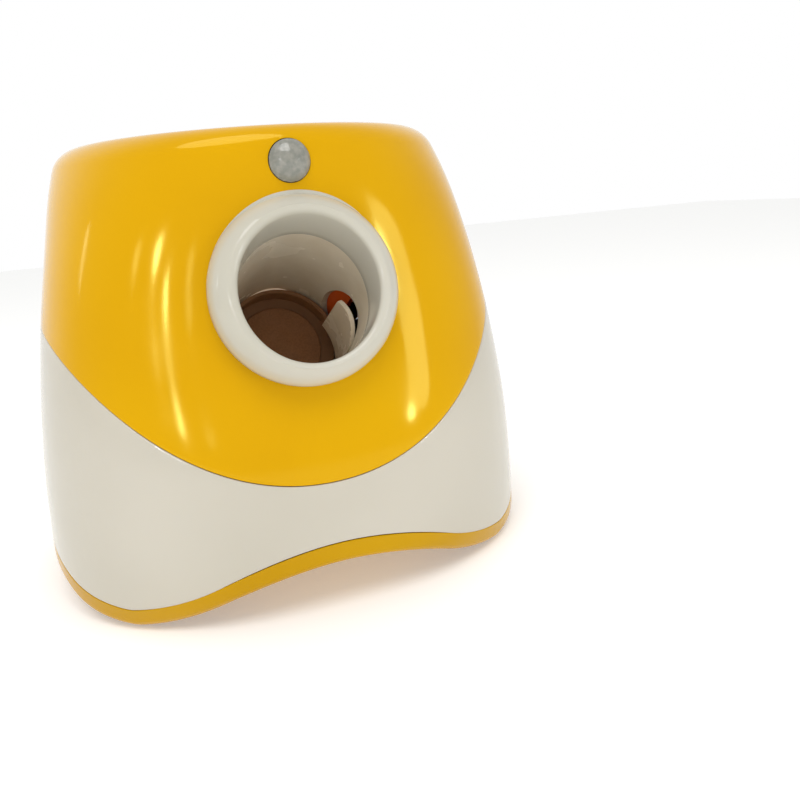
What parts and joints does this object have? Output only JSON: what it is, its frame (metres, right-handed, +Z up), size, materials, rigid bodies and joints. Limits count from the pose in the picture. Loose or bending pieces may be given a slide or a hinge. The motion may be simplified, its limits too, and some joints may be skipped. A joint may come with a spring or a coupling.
{
  "type": "automatic dog ball launcher",
  "caption": "Automatic dog ball launcher: a rounded squarish body with a hopper on top, a launch mouth in front and a spring striker wound by a geared motor inside.",
  "frame": {"origin": "on the floor, under the middle of the outer box", "axes": "+Z up, the launch mouth faces -Y, +X to the right as seen from the front"},
  "size_m": [0.2378, 0.2264, 0.2007],
  "materials": {
    "amber_shell": "gloss",
    "white_shell": "gloss",
    "yellow_base": "gloss",
    "foot_rubber": "matt",
    "cover_rubber": "satin",
    "zinc_screw": "zinc plated",
    "tube_plastic": "satin",
    "flap_plastic": "satin",
    "red_plastic": "satin",
    "hopper_plastic": "gloss",
    "bright_steel": "ground",
    "spring_steel": "drawn",
    "switch_black": "moulded",
    "dark_nylon": "moulded",
    "striker_rubber": "matt",
    "white_acetal": "moulded",
    "brass_part": "turned",
    "grey_plastic": "moulded",
    "motor_can": "plated",
    "lens_plastic": "frosted",
    "black_plastic": "moulded",
    "board_green": "lacquered",
    "steel_can": "plated",
    "lamp_plastic": "clear",
    "button_plastic": "satin",
    "cell_wrap": "shrink film",
    "component_black": "moulded",
    "wire_red": "insulation"
  },
  "bodies": {
    "casing": {"upper_shell": "amber_shell", "lower_skirt": "white_shell", "base_tray": "yellow_base", "rubber_feet": "foot_rubber", "casing_screws": "zinc_screw", "launch_collar": "white_shell", "collar_screws": "zinc_screw", "launch_tube": "tube_plastic", "flap_frame": "red_plastic", "flap_pin": "bright_steel", "flap_spring": "spring_steel", "ball_switch": "switch_black", "hopper_bowl": "hopper_plastic", "bowl_screws": "zinc_screw", "drop_chute": "tube_plastic", "launch_spring": "spring_steel", "spring_guide": "dark_nylon", "rear_bracket": "dark_nylon", "gear_plate_left": "grey_plastic", "gear_plate_right": "grey_plastic", "gear_bushes": "brass_part", "gearbox_screws": "zinc_screw", "motor": "motor_can", "motor_screws": "zinc_screw", "tube_cradle": "grey_plastic", "mount_screws": "zinc_screw", "home_switch": "switch_black", "sensor_lens": "lens_plastic", "sensor_holder": "black_plastic", "sensor_board": "board_green", "sensor_can": "steel_can", "control_panel": "black_plastic", "status_lights": "lamp_plastic", "button_board": "board_green", "charge_inlet": "steel_can", "charge_board": "board_green", "battery_cells": "cell_wrap", "battery_holder": "grey_plastic", "main_board": "board_green", "board_parts": "component_black", "buzzer": "switch_black", "motor_wires": "wire_red", "second_pin": "bright_steel", "first_pin": "bright_steel"},
    "striker": {"striker_head": "dark_nylon", "striker_pad": "striker_rubber", "rack_bar": "white_acetal", "striker_screw": "zinc_screw"},
    "drive": {"sector_gear": "white_acetal", "output_gear": "white_acetal", "output_shaft": "bright_steel"},
    "second": {"second_gear": "white_acetal"},
    "first": {"first_gear": "white_acetal"},
    "pinion": {"motor_pinion": "brass_part"},
    "flap": {"ball_flap": "flap_plastic"},
    "lever": {"home_lever": "bright_steel"},
    "power": {"power_button": "button_plastic"},
    "distance": {"distance_button": "button_plastic"},
    "cover": {"inlet_cover": "cover_rubber"}
  },
  "joints": [
    {"name": "striker_slide", "type": "slide", "parent": "casing", "child": "striker", "axis": [0, 0.9063, -0.4226], "range_m": [0, 0.0625], "stiffness_N_per_m": 450, "springref_m": -0.03, "deforming": ["launch_spring"]},
    {"name": "drive_spin", "type": "hinge", "parent": "casing", "child": "drive", "pos_m": [0, 0.03853, 0.04517], "axis": [-1, 0, 0], "range_deg": [0, 239]},
    {"name": "second_spin", "type": "hinge", "parent": "casing", "child": "second", "pos_m": [0, 0.01824, 0.03974], "axis": [1, 0, 0], "range_deg": [0, 597]},
    {"name": "first_spin", "type": "hinge", "parent": "casing", "child": "first", "pos_m": [0, 0.0027, 0.0411], "axis": [-1, 0, 0], "range_deg": [0, 1990]},
    {"name": "pinion_spin", "type": "hinge", "parent": "casing", "child": "pinion", "pos_m": [0, -0.01083, 0.04602], "axis": [1, 0, 0], "range_deg": [0, 5970]},
    {"name": "flap_swing", "type": "hinge", "parent": "casing", "child": "flap", "pos_m": [0.028, -0.05337, 0.09134], "axis": [0, 0.9063, -0.4226], "range_deg": [0, 30], "stiffness_Nm_per_rad": 0.02, "springref_deg": -11.46, "deforming": ["flap_spring"]},
    {"name": "lever_press", "type": "hinge", "parent": "casing", "child": "lever", "pos_m": [-0.0165, 0.0322, 0.06048], "axis": [1, 0, 0], "range_deg": [0, 2.5], "stiffness_Nm_per_rad": 0.005, "springref_deg": -5.73},
    {"name": "power_press", "type": "slide", "parent": "casing", "child": "power", "axis": [0, -0.9863, -0.165], "range_m": [0, 0.001], "stiffness_N_per_m": 300, "springref_m": -0.001},
    {"name": "distance_press", "type": "slide", "parent": "casing", "child": "distance", "axis": [0, -0.9863, -0.165], "range_m": [0, 0.001], "stiffness_N_per_m": 300, "springref_m": -0.001},
    {"name": "cover_open", "type": "hinge", "parent": "casing", "child": "cover", "pos_m": [0.04213, 0.10872, 0.04], "axis": [-0.9781, 0.2079, 0], "range_deg": [0, 100]}
  ],
  "couplings": [
    {"joint": "drive_spin", "follows": "striker_slide", "rad_per_m": 66.667},
    {"joint": "second_spin", "follows": "striker_slide", "rad_per_m": 166.67},
    {"joint": "first_spin", "follows": "striker_slide", "rad_per_m": 555.56},
    {"joint": "pinion_spin", "follows": "striker_slide", "rad_per_m": 1666.7}
  ]
}
